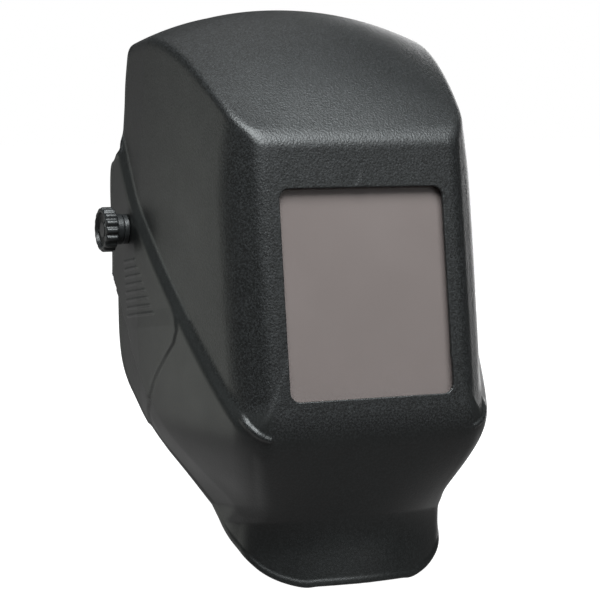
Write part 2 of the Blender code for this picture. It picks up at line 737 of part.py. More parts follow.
def build_ratchet(frame):
    tall = 15 * MM
    inner, outer = 76.8 * MM, 87.6 * MM
    slide_in = STRAP_LEFT_R - GAP
    slide_out = STRAP_RIGHT_R + STRAP_THICK + GAP
    shelf = STRAP_HALF_HEIGHT + 0.5 * MM
    reach = math.radians(20)
    back = [(inner, -tall), (slide_in, -tall), (slide_in, tall), (inner, tall)]
    add_piece("ratchet_backplate", arc_loft(back, reach), "headgear_plastic", frame)
    cover = [
        (slide_in + GAP, -tall), (outer, -tall), (outer, tall), (slide_in + GAP, tall),
        (slide_in + GAP, shelf), (slide_out, shelf), (slide_out, -shelf), (slide_in + GAP, -shelf),
    ]
    cover_piece = add_piece("ratchet_cover", arc_loft(cover, reach), "headgear_plastic", frame)
    shaft_hole = turn_to_y(loft([circle_x(slide_out - 2 * MM, 4.2 * MM, 24), circle_x(outer + 3 * MM, 4.2 * MM, 24)]))
    cut(cover_piece, cutter("shaft_hole_cutter", shaft_hole, frame))

    gear0 = slide_in + 0.2 * MM
    gear1 = slide_out - 0.6 * MM
    shaft = [(gear1, 3.9 * MM), (outer + 6.5 * MM, 3.9 * MM), (outer + 7 * MM, 3.4 * MM)]
    rings = [pinion_ring(gear0), pinion_ring(gear1)]
    rings += [circle_x(x, r, 40) for x, r in shaft]
    pinion = turn_to_y(loft(rings))
    spin = (0.0, outer, 0.0)
    add_piece("ratchet_pinion", pinion, "knob_black", frame, spin)
    knob = turn_to_y(knob_mesh(outer + GAP, outer + 13 * MM, 19 * MM, 14, 4.2 * MM, 7.4 * MM))
    add_piece("ratchet_knob", knob, "knob_black", frame, spin)

    pad_in, pad_out = 69 * MM, inner - GAP
    pad = [(pad_in, -13 * MM), (pad_out, -17 * MM), (pad_out, 17 * MM), (pad_in, 13 * MM)]
    add_piece("nape_pad", arc_loft(pad, math.radians(24), 10), "pad_foam", frame)


def pinion_ring(x):
    """The pinion's outline: tooth tops at the top and bottom, four points to each tooth."""
    ring = []
    tip = PINION_PITCH_R + 0.85 * MM
    root = PINION_PITCH_R - 1.15 * MM
    pitch = 2 * math.pi / PINION_TEETH
    for n in range(PINION_TEETH):
        middle = math.pi / 2 + n * pitch
        for part, r in ((-0.27, root), (-0.11, tip), (0.11, tip), (0.27, root)):
            a = middle + part * pitch
            ring.append((x, r * math.cos(a), r * math.sin(a)))
    return ring


def crown_line(offset):
    """The crown strap's line from inside the band up to just past the top, in (x, z)."""
    foot = -7 * MM
    spring = 12 * MM
    half = BAND_INNER - GAP - offset
    line = [(half, foot), (half, 0.0)]
    steps = 16
    for i in range(steps + 1):
        a = math.radians(104) * i / steps
        line.append((half * math.cos(a), spring + (CROWN_HEIGHT - spring - offset) * math.sin(a)))
    return line


def build_crown_strap(side, sign, layer, frame, tool):
    thick = 1.4 * MM
    outer = crown_line(layer)
    inner = crown_line(layer + thick)
    rings = []
    for (xo, zo), (xi, zi) in zip(outer, inner):
        y0, y1 = CROWN_AT - CROWN_HALF_WIDTH, CROWN_AT + CROWN_HALF_WIDTH
        rings.append([(sign * xo, y0, zo), (sign * xo, y1, zo), (sign * xi, y1, zi), (sign * xi, y0, zi)])
    strap = add_piece("crown_strap_" + side, loft(rings), "headgear_plastic", frame)
    cut(strap, tool)
    return strap


def build_headgear(frame):
    side_tools = {}
    crown_tools = {}
    through = (76 * MM, 92 * MM)
    for side, sign in (("left", 1), ("right", -1)):
        side_tools[side] = [
            cutter(f"rivet_cutter_{side}_{i}", rivet_mesh(*through, along, 0.0, sign, True), frame)
            for i, along in enumerate(SIDE_RIVETS)
        ]
        crown_tools[side] = cutter("crown_cutter_" + side, rivet_mesh(*through, CROWN_AT, 0.0, sign, True), frame)
    build_front_band(frame, side_tools["left"] + side_tools["right"] + list(crown_tools.values()))

    band_face = BAND_INNER - GAP
    for side, sign in (("left", 1), ("right", -1)):
        build_pivot(side, sign, side_tools[side])
        for where, along in zip(("front", "rear"), SIDE_RIVETS):
            mesh = rivet_mesh(band_face, SIDE_PLATE_X[1] + GAP, along, 0.0, sign)
            add_piece(f"side_rivet_{side}_{where}", mesh, "rivet_plastic", frame)

    layers = {"left": 0.0, "right": 1.8 * MM}
    straps = {}
    for side, sign in (("left", 1), ("right", -1)):
        straps[side] = build_crown_strap(side, sign, layers[side], frame, crown_tools[side])
        inside = BAND_INNER - GAP - layers[side] - 1.4 * MM - GAP
        mesh = rivet_mesh(inside, BAND_INNER + BAND_THICK + GAP - 0.0, CROWN_AT, 0.0, sign)
        add_piece("crown_rivet_" + side, mesh, "rivet_plastic", frame)
    build_crown_peg(straps, frame)

    add_piece("rear_strap_left", strap_mesh(STRAP_LEFT_R, 1, 1), "headgear_plastic", frame)
    add_piece("rear_strap_right", strap_mesh(STRAP_RIGHT_R, -1, -1), "headgear_plastic", frame)
    build_ratchet(frame)


def build_crown_peg(straps, frame):
    """A push-in button that joins the two crown straps at the top."""
    def vertical(z, r, count=20):
        step = 2 * math.pi / count
        turns = [(i + 0.3) * step for i in range(count)]
        return [(r * math.cos(a), CROWN_AT + r * math.sin(a), z) for a in turns]
    low = CROWN_HEIGHT - 3.8 * MM
    high = CROWN_HEIGHT + 0.4 * MM
    hole = cutter("peg_hole_cutter", loft([vertical(low - 4 * MM, 2.6 * MM), vertical(high + 4 * MM, 2.6 * MM)]), frame)
    for strap in straps.values():
        cut(strap, hole)
    stations = [(low - 1.2 * MM, 3.4 * MM), (low, 4.4 * MM), (low, 2.3 * MM), (high, 2.3 * MM), (high, 4.4 * MM), (high + 1.2 * MM, 3.4 * MM)]
    add_piece("crown_peg", loft([vertical(z, r) for z, r in stations]), "rivet_plastic", frame)


def main():
    clear_scene()
    shell_frame = empty("shell_frame", (0.0, 0.0, 0.0), -SHELL_LEAN)
    band_frame = empty("band_frame", BAND_CENTRE, -BAND_TILT)
    build_shell(shell_frame)
    build_lens_bay(shell_frame)
    build_headgear(band_frame)


main()
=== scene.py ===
import math

import bmesh
import bpy
import numpy as np
from mathutils import Matrix, Vector


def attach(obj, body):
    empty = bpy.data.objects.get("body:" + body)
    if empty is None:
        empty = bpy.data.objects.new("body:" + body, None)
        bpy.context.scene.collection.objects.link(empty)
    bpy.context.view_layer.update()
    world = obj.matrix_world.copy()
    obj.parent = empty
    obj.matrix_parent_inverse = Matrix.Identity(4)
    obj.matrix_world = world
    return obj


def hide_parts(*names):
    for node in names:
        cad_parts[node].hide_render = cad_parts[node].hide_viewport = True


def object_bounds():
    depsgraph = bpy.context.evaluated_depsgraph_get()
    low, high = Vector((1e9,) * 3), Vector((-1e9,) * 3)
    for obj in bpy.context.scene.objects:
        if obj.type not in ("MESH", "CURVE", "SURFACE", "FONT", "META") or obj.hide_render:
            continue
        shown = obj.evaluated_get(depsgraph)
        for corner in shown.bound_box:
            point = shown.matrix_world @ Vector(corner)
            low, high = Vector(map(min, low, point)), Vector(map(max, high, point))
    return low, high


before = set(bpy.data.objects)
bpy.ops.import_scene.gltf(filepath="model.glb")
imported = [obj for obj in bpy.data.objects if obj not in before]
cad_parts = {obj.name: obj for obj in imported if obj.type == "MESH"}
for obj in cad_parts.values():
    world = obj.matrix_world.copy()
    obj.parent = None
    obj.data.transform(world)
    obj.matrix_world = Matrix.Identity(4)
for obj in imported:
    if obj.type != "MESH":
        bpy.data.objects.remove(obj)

CAD_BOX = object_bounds()
MM = 0.001

# ---- the shell's own frame leans back about the tilt axis; its lengths are in millimetres ----
LEAN = math.radians(8.5)
WALL = 2.5
FACE_Y = -121.7
WINDOW = (100.0, 118.0, 6.0, -48.5)     # width, height, corner radius, centre height
SIDE_HALF = 97.3
SKIRT_PROUD = 4.3
STEP_TOP = (10.0, 44.4)                 # the skirt's slanting edge in side view (y, z)
STEP_BOTTOM = (-118.0, -123.2)
BOX_BOTTOM_Z = -126.0
CHIN_Y = -92.5
RAY_CENTRE = np.array([0.0, 75.0, -30.0])
BAND_CORNER = (60.8, 0.705, 0.709)      # chamfer between face and side: start and plan normal
CROWN_EDGE_Y = 22.0                     # the rim over the crown
CROWN_EDGE_HALF = 72
CHIN_EDGE_Z = -213.3                    # the rim under the chin
CHIN_EDGE_HALF = 35

# The four lists below, and the coefficients of the shell's formula, were worked out by scratch
# fitting programs and partly rounded by hand. They are measured data, not designed curves.
SIDE_RIM = [
    (22, 98), (22, 76), (22, 57), (19.5, 50), (24.5, 45), (32, 39), (30, 5), (32, -15),
    (37.5, -35), (41, -65), (36, -84), (15, -105), (-10.5, -132), (-32, -158), (-53, -183),
    (-68.5, -198), (-76.5, -207),
]
RELIEF_LINE = [(-52.0, -44.0), (-59.6, -54.6), (-61.2, -63.2), (-57.0, -70.4), (-42.8, -80.9),
               (-31.1, -89.9), (-19.3, -102.6), (-8.0, -110.5), (4.0, -119.0)]
FLANGE_CREASE = [(-24.0, -108.0), (-37.8, -127.3), (-51.6, -145.3), (-64.5, -160.0), (-71.5, -176.9),
                 (-75.1, -183.5), (-84.0, -202.0)]
NUB = [(75.5, -106.4, -111.5), (73.0, -111.2, -117.7), (69.5, -116.1, -122.8), (65.9, -118.7, -126.0),
       (62.8, -119.8, -127.6)]
RIB_COUNT, RIB_TOP, RIB_PITCH = 8, -19.4, 4.65
RIB_HEIGHT, RIB_HALF, RIB_REAR = 0.62, 1.15, 8.6
PANEL_TOP, PANEL_BOTTOM = -50, -122     # the raised panel behind the relief line
PANEL_STEP = 2.2                        # width of the panel's rounded edge
PANEL_REACH, PANEL_FADE = 34, 20        # how far behind the line the panel goes, and then fades

# ---- the camera, in metres ----
CAMERA_AT = (-0.4517, -1.1245, 0.0813)
CAMERA_FORWARD = (0.37862, 0.91956, -0.10514)
CAMERA_LENS = 117.84

# ---- the headgear's frame ----
BAND_TILT = math.radians(16)
BAND_CENTRE = Vector((0.0, 28 * MM, 12 * MM))
BAND_INNER = 83.6


# ------------------------------------------------------------------ mesh helpers

def new_object(name, verts, faces, mat, smooth=True):
    mesh = bpy.data.meshes.new(name)
    mesh.from_pydata([tuple(v) for v in verts], [], [tuple(f) for f in faces])
    mesh.update()
    if smooth:
        mesh.shade_smooth()
    if mat is not None:
        mesh.materials.append(mat)
    obj = bpy.data.objects.new(name, mesh)
    bpy.context.scene.collection.objects.link(obj)
    return obj


def grid_faces(rows, columns, wrap_rows=False, wrap_columns=True):
    faces = []
    for i in range(rows if wrap_rows else rows - 1):
        k = (i + 1) % rows
        for j in range(columns if wrap_columns else columns - 1):
            m = (j + 1) % columns
            faces.append((i * columns + j, i * columns + m, k * columns + m, k * columns + j))
    return faces


def facing_out(obj):
    bm = bmesh.new()
    bm.from_mesh(obj.data)
    bmesh.ops.recalc_face_normals(bm, faces=bm.faces)
    bm.to_mesh(obj.data)
    bm.free()


def place(obj, body, slot, *nodes):
    """Say what a finished piece rides on and stands for; slot, the finish it takes, is not used."""
    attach(obj, body)
    if nodes:
        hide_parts(*nodes)
    return obj


def point_attribute(obj, name, values):
    layer = obj.data.attributes.new(name, "FLOAT", "POINT")
    layer.data.foreach_set("value", np.asarray(values, np.float32).ravel())


# ------------------------------------------------------------------ materials

class Nodes:
    """A short way to write a procedural material."""

    def __init__(self, name):
        self.material = bpy.data.materials.new(name)
        self.material.use_nodes = True
        self.tree = self.material.node_tree
        self.shader = self.tree.nodes["Principled BSDF"]
        self.coords = self.tree.nodes.new("ShaderNodeTexCoord").outputs["Object"]
        self.normal = None

    def link(self, a, b):
        self.tree.links.new(a, b)

    def set(self, **values):
        for key, value in values.items():
            self.shader.inputs[key.replace("_", " ")].default_value = value

    def scaled(self, scale):
        node = self.tree.nodes.new("ShaderNodeMapping")
        node.inputs["Scale"].default_value = scale
        self.link(self.coords, node.inputs["Vector"])
        return node.outputs["Vector"]

    def noise(self, size_mm, detail=3.0, rough=0.55, stretch=None):
        node = self.tree.nodes.new("ShaderNodeTexNoise")
        node.inputs["Scale"].default_value = 1000.0 / size_mm
        node.inputs["Detail"].default_value = detail
        node.inputs["Roughness"].default_value = rough
        self.link(self.scaled(stretch) if stretch else self.coords, node.inputs["Vector"])
        return node.outputs["Fac"]

    def cells(self, size_mm, smooth=0.6):
        node = self.tree.nodes.new("ShaderNodeTexVoronoi")
        node.feature = "SMOOTH_F1"
        node.inputs["Scale"].default_value = 1000.0 / size_mm
        node.inputs["Smoothness"].default_value = smooth
        self.link(self.coords, node.inputs["Vector"])
        return node.outputs["Distance"]

    def waves(self, size_mm, direction, stretch=None):
        node = self.tree.nodes.new("ShaderNodeTexWave")
        node.bands_direction = direction
        node.inputs["Scale"].default_value = 1000.0 / size_mm / 2
        node.inputs["Distortion"].default_value = 0.6
        node.inputs["Detail"].default_value = 1.0
        self.link(self.scaled(stretch) if stretch else self.coords, node.inputs["Vector"])
        return node.outputs["Fac"]

    def attribute(self, name):
        node = self.tree.nodes.new("ShaderNodeAttribute")
        node.attribute_name = name
        return node.outputs["Fac"]

    def math(self, kind, a, b):
        node = self.tree.nodes.new("ShaderNodeMath")
        node.operation = kind
        for socket, value in zip(node.inputs, (a, b)):
            if isinstance(value, (int, float)):
                socket.default_value = value
            else:
                self.link(value, socket)
        return node.outputs[0]

    def ramp(self, source, low, high, a=0.35, b=0.65):
        node = self.tree.nodes.new("ShaderNodeValToRGB")
        stops = node.color_ramp.elements
        stops[0].position, stops[1].position = a, b
        stops[0].color, stops[1].color = (*low, 1), (*high, 1)
        self.link(source, node.inputs["Fac"])
        return node.outputs["Color"]

    def blend(self, factor, a, b):
        node = self.tree.nodes.new("ShaderNodeMix")
        node.data_type = "RGBA"
        self.link(factor, node.inputs["Factor"])
        for socket, value in ((node.inputs["A"], a), (node.inputs["B"], b)):
            if isinstance(value, tuple):
                socket.default_value = (*value, 1)
            else:
                self.link(value, socket)
        return node.outputs["Result"]

    def span(self, source, low, high):
        node = self.tree.nodes.new("ShaderNodeMapRange")
        node.inputs["To Min"].default_value = low
        node.inputs["To Max"].default_value = high
        self.link(source, node.inputs["Value"])
        return node.outputs["Result"]

    def bump(self, height, depth_mm, strength=1.0):
        node = self.tree.nodes.new("ShaderNodeBump")
        node.inputs["Distance"].default_value = depth_mm * MM
        if isinstance(strength, (int, float)):
            node.inputs["Strength"].default_value = strength
        else:
            self.link(strength, node.inputs["Strength"])
        self.link(height, node.inputs["Height"])
        if self.normal is not None:
            self.link(self.normal, node.inputs["Normal"])
        self.normal = node.outputs["Normal"]
        self.link(self.normal, self.shader.inputs["Normal"])

    def colour(self, source):
        self.link(source, self.shader.inputs["Base Color"])

    def roughness(self, source):
        self.link(source, self.shader.inputs["Roughness"])


def shades(colour, low, high):
    return tuple(low * c for c in colour), tuple(high * c for c in colour)


def shell_plastic():
    m = Nodes("shell_plastic")
    m.set(Specular_IOR_Level=0.5, Coat_Weight=0.0)
    grain = m.attribute("grain")
    pebble = m.cells(1.1, 0.85)
    fine = m.noise(1.15, 3.0, 0.7)
    m.bump(pebble, 0.15, grain)
    m.bump(fine, 0.035, 0.6)
    low, high = shades((0.0085, 0.0093, 0.0090), 0.82, 1.16)
    tone = m.ramp(m.noise(38.0, 4.0), low, high)
    speck = m.ramp(fine, (0.0, 0.0, 0.0), (0.024, 0.0255, 0.0265), 0.42, 0.64)
    # Painted highlight: the "edge" attribute lifts the colour towards (0.075, 0.078, 0.075) along the
    # crease of the skirt's step. It also gives a lighter strip along the rim.
    edge = m.attribute("edge")
    body = m.blend(m.math("MULTIPLY", grain, 0.7), tone, speck)
    m.colour(m.blend(m.math("MULTIPLY", edge, 0.55), body, (0.075, 0.078, 0.075)))
    patch = m.span(m.noise(22.0, 5.0, 0.6), 0.34, 0.46)
    m.roughness(m.math("ADD", patch, m.math("MULTIPLY", grain, 0.05)))
    return m.material


def moulded(name, colour, rough, grain_mm=0.8, depth_mm=0.05, spread=0.14):
    m = Nodes(name)
    low, high = shades(colour, 1 - spread, 1 + spread)
    m.colour(m.ramp(m.noise(9.0, 5.0), low, high))
    m.roughness(m.span(m.noise(14.0, 4.0), rough - 0.06, rough + 0.08))
    m.bump(m.cells(grain_mm), depth_mm, 0.7)
    m.bump(m.noise(0.35, 3.0), 0.02, 0.5)
    return m.material


def clear_plastic(name, tint):
    m = Nodes(name)
    m.set(Alpha=0.10, IOR=1.49)
    m.colour(m.ramp(m.noise(30.0), *shades(tint, 0.96, 1.0)))
    m.roughness(m.span(m.noise(6.0, 6.0), 0.03, 0.10))
    return m.material


def filter_shade():
    m = Nodes("shade_glass")
    m.set(IOR=1.52, Specular_IOR_Level=0.5)
    m.colour(m.ramp(m.noise(60.0, 2.0), (0.162, 0.133, 0.126), (0.172, 0.142, 0.135)))
    m.roughness(m.span(m.noise(25.0, 3.0), 0.16, 0.22))
    return m.material


def steel(name, colour, rough, turned):
    m = Nodes(name)
    m.set(Metallic=1.0)
    lines = m.noise(0.5, 4.0, 0.6, turned)
    m.colour(m.ramp(m.noise(5.0, 4.0), *shades(colour, 0.85, 1.1)))
    m.roughness(m.span(lines, rough - 0.08, rough + 0.14))
    m.bump(lines, 0.02, 0.6)
    return m.material


def rubber():
    m = Nodes("gasket_foam_rubber")
    m.colour(m.ramp(m.noise(1.2, 4.0), (0.014, 0.014, 0.014), (0.034, 0.034, 0.034)))
    m.roughness(m.span(m.noise(3.0), 0.74, 0.92))
    m.bump(m.cells(0.6), 0.12, 0.8)
    return m.material


def fibre():
    m = Nodes("pressed_fibre")
    m.colour(m.ramp(m.noise(0.9, 6.0, 0.7), (0.11, 0.065, 0.045), (0.23, 0.15, 0.10)))
    m.roughness(m.span(m.noise(1.5, 5.0), 0.78, 0.95))
    m.bump(m.noise(0.4, 5.0), 0.06, 0.8)
    return m.material


def terry_fabric():
    m = Nodes("terry_fabric")
    m.set(Sheen_Weight=0.35, Sheen_Roughness=0.5)
    loops = m.cells(1.1, 0.4)
    knit = m.waves(1.6, "Z")
    m.colour(m.blend(knit, m.ramp(loops, (0.036, 0.038, 0.042), (0.085, 0.088, 0.094), 0.1, 0.8),
                     (0.046, 0.048, 0.053)))
    m.roughness(m.span(m.noise(2.0, 4.0), 0.86, 0.98))
    m.bump(knit, 0.25, 0.5)
    m.bump(loops, 0.6, 0.9)
    return m.material


def open_foam():
    m = Nodes("open_foam")
    m.set(Sheen_Weight=0.2, Sheen_Roughness=0.6)
    pores = m.cells(0.9, 0.2)
    m.colour(m.ramp(pores, (0.10, 0.102, 0.108), (0.045, 0.046, 0.050), 0.15, 0.7))
    m.roughness(m.span(m.noise(2.5, 4.0), 0.88, 0.98))
    m.bump(pores, 0.5, 0.9)
    m.bump(m.noise(7.0, 3.0), 0.6, 0.4)
    return m.material


def thread():
    m = Nodes("seam_thread")
    m.colour(m.ramp(m.waves(0.5, "DIAGONAL"), (0.10, 0.10, 0.105), (0.21, 0.21, 0.22)))
    m.roughness(m.span(m.noise(1.0), 0.7, 0.85))
    m.bump(m.waves(0.4, "DIAGONAL"), 0.05, 0.8)
    return m.material


def studio_floor():
    m = Nodes("studio_floor")
    m.set(Emission_Color=(1, 1, 1, 1), Emission_Strength=1.0)
    m.colour(m.ramp(m.noise(400.0, 2.0), (0.28, 0.28, 0.28), (0.31, 0.31, 0.31)))
    m.roughness(m.span(m.noise(90.0, 3.0), 0.85, 0.95))
    return m.material


# ------------------------------------------------------------------ the shell's surface

def smooth_max(a, b, blend):
    h = np.maximum(blend - np.abs(a - b), 0) / blend
    return np.maximum(a, b) + h * h * blend / 4


def smooth_min(a, b, blend):
    return -smooth_max(-a, -b, blend)


def soft_ramp(t, blend):
    return 0.5 * (t + np.sqrt(t * t + blend * blend))


def line_distance(y, z, line):
    """Signed distance in side view from a broken line, positive behind and below it."""
    best = np.full(np.shape(y), 1e9)
    sign = np.ones(np.shape(y))
    for (y0, z0), (y1, z1) in zip(line, line[1:]):
        dy, dz = y1 - y0, z1 - z0
        length = math.hypot(dy, dz)
        t = np.clip(((y - y0) * dy + (z - z0) * dz) / length**2, 0, 1)
        far = np.hypot(y - y0 - t * dy, z - z0 - t * dz)
        side = np.sign((y - y0) * dz - (z - z0) * dy)
        closer = far < best
        best = np.where(closer, far, best)
        sign = np.where(closer, side, sign)
    return best * -sign


def box_half_width(y, z):
    ahead = np.maximum(-13 - y, 0)
    return SIDE_HALF - 0.098 * ahead - 0.00127 * ahead**2 - 0.105 * soft_ramp(z - 20, 15)


def jaw_taper(y, z):
    steep = 0.645 * soft_ramp(-131.6 + 0.15 * (y + 120) - z, 16)
    gentle = 18.4 + 0.318 * np.clip(-136 - z, -12, 29)
    gentle = gentle - 0.04 * np.clip(y + 95, 0, 90)
    return smooth_min(steep, gentle, 3.5)


def crown_height(x, y):
    ahead = -15 - y
    centre = 130.4 - 0.1336 * ahead - 0.0069 * ahead * np.maximum(ahead, 0)
    centre = centre - 0.0006 * np.minimum(ahead, 0) ** 2
    along = np.clip((y + 117) / 100, 0, 1.5)
    drop = 23 * along * (1 - 0.3 * along)
    reach = 48 + 33 * np.minimum(along, 1)
    return centre - drop * (np.abs(x) / reach) ** 2.08


def jaw_panel_y(x, z):
    below = BOX_BOTTOM_Z - z
    curl = np.minimum(0.0078 * np.maximum(below, 0) ** 2, 19)
    return FACE_Y + 0.512 * below + (x / 55) ** 2 * curl


def chin_y(x):
    return CHIN_Y + 19 * (x / 55) ** 2


def shell_parts(p):
    """The two bodies that make the shell: the box, and the skirt that stands out below it."""
    x, y, z = p[..., 0], p[..., 1], p[..., 2]
    across = np.abs(x)
    half = box_half_width(y, z) - jaw_taper(y, z)
    face = FACE_Y - y
    jaw = smooth_min((jaw_panel_y(x, z) - y) * 0.8, chin_y(x) - y, 5)
    top = (z - crown_height(x, y)) * 0.72
    start, nx, ny = BAND_CORNER
    corner = nx * (across - start) - ny * (y - FACE_Y)
    box = smooth_max(face, (across - half) * 0.95, 4)
    box = smooth_max(box, corner, 4)
    box = smooth_max(box, top, 3.5)
    box = smooth_max(box, jaw, 5)
    run = np.array(STEP_BOTTOM) - np.array(STEP_TOP)
    run = run / np.linalg.norm(run)
    above = (y - STEP_TOP[0]) * run[1] - (z - STEP_TOP[1]) * run[0]
    ramp = above * 0.62 + (across - half) * 0.78
    bend = 0.13 * soft_ramp(line_distance(y, z, FLANGE_CREASE), 1.5)
    skirt = smooth_max(face, jaw, 5)
    skirt = smooth_max((across - half - SKIRT_PROUD + bend) * 0.95, skirt, 16)
    skirt = smooth_max(skirt, ramp, 1.2)
    skirt = smooth_max(skirt, top + 2, 8)
    return box, skirt


def shell_field(p):
    box, skirt = shell_parts(p)
    return smooth_min(box, skirt, 1.2)


def cast_to_shell(start, directions):
    near = np.zeros(directions.shape[:-1])
    far = np.full(directions.shape[:-1], 420.0)
    for _ in range(30):
        middle = (near + far) / 2
        inside = shell_field(start + directions * middle[..., None]) < 0
        near = np.where(inside, middle, near)
        far = np.where(inside, far, middle)
    return start + directions * ((near + far) / 2)[..., None]


def outward(points, step=0.4):
    offsets = step * np.eye(3)
    slope = [shell_field(points + offsets[k]) - shell_field(points - offsets[k]) for k in range(3)]
    normal = np.stack(slope, -1)
    return normal / np.linalg.norm(normal, axis=-1, keepdims=True)


def smooth_curve(points):
    """A fine curve through the given points, with its length at each point."""
    points = np.array(points, float)
    padded = np.vstack([2 * points[0] - points[1], points, 2 * points[-1] - points[-2]])
    t = np.linspace(0, 1, 12, endpoint=False)[:, None]
    fine = []
    for p0, p1, p2, p3 in zip(padded, padded[1:], padded[2:], padded[3:]):
        cubic = 2 * p0 - 5 * p1 + 4 * p2 - p3 + t * (3 * (p1 - p2) + p3 - p0)
        fine.append(p1 + 0.5 * t * (p2 - p0 + t * cubic))
    fine = np.vstack(fine + [points[-1:]])
    length = np.r_[0, np.cumsum(np.linalg.norm(np.diff(fine, axis=0), axis=1))]
    return fine, length


def along_curve(fine, length, share):
    at = share * length[-1]
    return np.stack([np.interp(at, length, fine[:, k]) for k in range(fine.shape[1])], -1)


def half_rim(share):
    across = np.linspace(0, CROWN_EDGE_HALF, 7)
    crown = np.stack([across, np.full(7, CROWN_EDGE_Y), np.full(7, 40.0)], -1)
    crown = cast_to_shell(crown, np.tile([0.0, 0.0, 1.0], (7, 1)))
    side = np.array([(0, y, z) for y, z in SIDE_RIM], float)
    side = cast_to_shell(side, np.tile([1.0, 0.0, 0.0], (len(side), 1)))
    across = np.linspace(CHIN_EDGE_HALF, 0, 5)
    chin = np.stack([across, np.full(5, -60.0), np.full(5, CHIN_EDGE_Z)], -1)
    chin = cast_to_shell(chin, np.tile([0.0, -1.0, 0.0], (5, 1)))
    return along_curve(*smooth_curve(np.vstack([crown, side, chin])), share)


def half_window(share):
    width, height, r, middle = WINDOW
    flat_w, flat_h = width / 2 - r, height / 2 - r
    outline = [(0.0, flat_h + r)]
    for a in np.radians(np.linspace(0, 90, 13)):
        outline.append((flat_w + r * math.sin(a), flat_h + r * math.cos(a)))
    outline += [(x, -z) for x, z in outline[::-1]]
    outline = np.array([(x, FACE_Y, z + middle) for x, z in outline])
    length = np.r_[0, np.cumsum(np.linalg.norm(np.diff(outline, axis=0), axis=1))]
    arc = math.pi * r / 2
    knots = np.array([0, flat_w, flat_w + arc, length[-1] - flat_w - arc, length[-1] - flat_w, length[-1]])
    at = np.interp(share, [0, 0.165, 0.205, 0.775, 0.815, 1], knots / length[-1])
    return along_curve(outline, length, at)


def ray_angles(points):
    d = points - RAY_CENTRE
    return np.stack([np.arctan2(d[:, 0], -d[:, 1]), np.arctan2(d[:, 2], np.hypot(d[:, 0], d[:, 1]))], -1)


def shell_grid(columns, rows):
    """Rows run from the window's edge to the rim, with close rows at both edges."""
    density = np.array([0.0, 0.40, 0.42, 0.54, 0.56, 1.0])
    weight = np.array([0.0, 0.34, 0.37, 0.60, 0.63, 1.0])
    share = np.interp(np.linspace(0, 1, columns), weight, density)
    window, rim = ray_angles(half_window(share)), ray_angles(half_rim(share))

    def rays(blend):
        angles = window * (1 - blend[..., None]) + rim * blend[..., None]
        side, rise = angles[..., 0], angles[..., 1]
        return np.stack([np.sin(side) * np.cos(rise), -np.cos(side) * np.cos(rise), np.sin(rise)], -1)

    even = np.linspace(0, 1, 90)[:, None] * np.ones(columns)
    rough = cast_to_shell(RAY_CENTRE, rays(even))
    steps = np.linalg.norm(np.diff(rough, axis=0), axis=-1)
    length = np.vstack([np.zeros(columns), np.cumsum(steps, axis=0)])
    ends = np.array([0, 0.12, 0.35, 0.7, 1.1, 1.6])
    blend, reach = [], []
    for j in range(columns):
        total = length[-1, j]
        at = np.r_[ends, np.linspace(2.4, total - 2.4, rows), total - ends[::-1]]
        blend.append(np.interp(at, length[:, j], even[:, j]))
        reach.append(at)
    blend, reach = np.array(blend).T, np.array(reach).T
    points = cast_to_shell(RAY_CENTRE, rays(blend))
    points[:, 0, 0] = 0.0
    points[:, -1, 0] = 0.0
    return points, reach, length[-1] - reach


def rounding(distance, radius):
    inside = np.clip(radius - distance, 0, radius)
    return radius - np.sqrt(np.maximum(radius**2 - inside**2, 0))


def shell_relief(p):
    """Raised detail on the sides, in millimetres above the plain surface."""
    across, y, z = np.abs(p[..., 0]), p[..., 1], p[..., 2]
    side = across > 60
    behind = line_distance(y, z, RELIEF_LINE)
    inside = (z < PANEL_TOP) & (z > PANEL_BOTTOM) & side
    panel = 0.5 - 0.5 * np.cos(math.pi * np.clip(behind / PANEL_STEP + 0.5, 0, 1))
    panel = np.where(inside, panel, 0) * np.clip((PANEL_TOP - z) / 10, 0, 1)
    relief = panel * np.clip((PANEL_REACH + PANEL_FADE - behind) / PANEL_FADE, 0, 1)
    for n in range(RIB_COUNT):
        middle = RIB_TOP - RIB_PITCH * n
        front = -14.5 - 3.1 * n
        height = np.cos(np.clip((z - middle) / RIB_HALF, -1, 1) * math.pi / 2) ** 2
        ends = np.clip((RIB_REAR - y) / 1.6, 0, 1) * np.clip((y - front) / 3.0, 0, 1)
        relief = relief + np.where(side, RIB_HEIGHT * height * ends, 0)
    return relief + nub_height(across, y, z)


def nub_height(across, y, z):
    """The moulded lip where the skirt's edge ends, round the box's lower corner."""
    path, length = smooth_curve(NUB)
    share = length / length[-1]
    near = (across > 56) & (y < -98) & (z < -104) & (z > -134)
    p = np.stack([across, y, z], -1)[near]
    gap = np.linalg.norm(p[:, None] - path[None], axis=-1)
    nearest = gap.argmin(axis=1)
    width = 2.3 - 0.8 * share[nearest] ** 2
    lip = 1.5 * np.clip(1 - (gap.min(axis=1) / width) ** 2, 0, 1) ** 0.6
    height = np.zeros(np.shape(y))
    height[near] = lip * np.clip((share[nearest] - 0.05) * 4, 0, 1)
    return height


